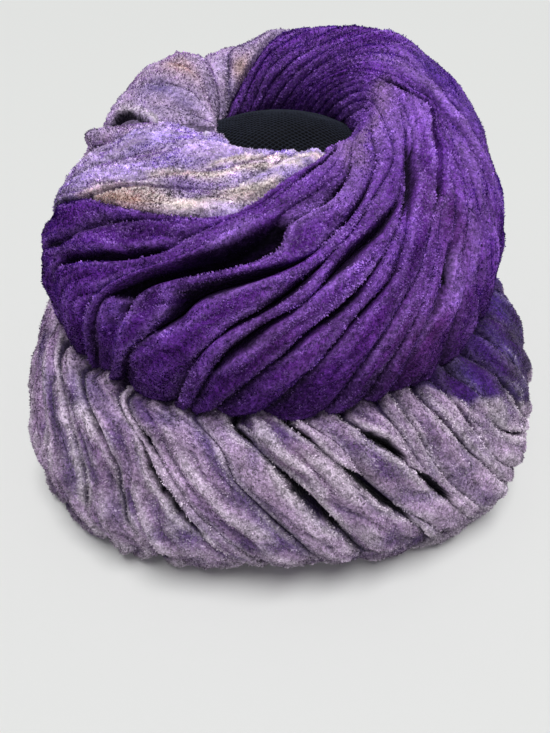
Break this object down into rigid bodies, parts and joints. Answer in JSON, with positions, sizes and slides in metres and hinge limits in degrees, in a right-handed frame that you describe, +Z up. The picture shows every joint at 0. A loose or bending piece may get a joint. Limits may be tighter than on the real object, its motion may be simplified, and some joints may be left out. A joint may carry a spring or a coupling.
{
  "type": "wound turban hat",
  "caption": "Wound velour turban: a pale padded roll round the head, a dark twisted crown roll above it, pale folded bands and a net cap in the middle, hollow for the head.",
  "frame": {"origin": "middle of the resting rim, on the surface that the turban stands on", "axes": "+Z up through the crown, -Y towards the front, +X towards the wearer's left"},
  "size_m": [0.2837, 0.2881, 0.1883],
  "materials": {
    "velour_lilac": "crushed plush velour, greyish lilac with dark violet creases",
    "velour_purple": "crushed plush velour, deep purple with violet highlights on the nap",
    "velour_pale_band": "crushed plush velour, bluish lilac with whitish edges and tan tints",
    "black_net": "matt fine black net"
  },
  "bodies": {
    "root": {"brim_roll": "velour_lilac", "crown_roll": "velour_purple", "front_band": "velour_pale_band", "back_band": "velour_pale_band", "tucked_end": "velour_pale_band", "net_cap": "black_net"}
  },
  "joints": []
}
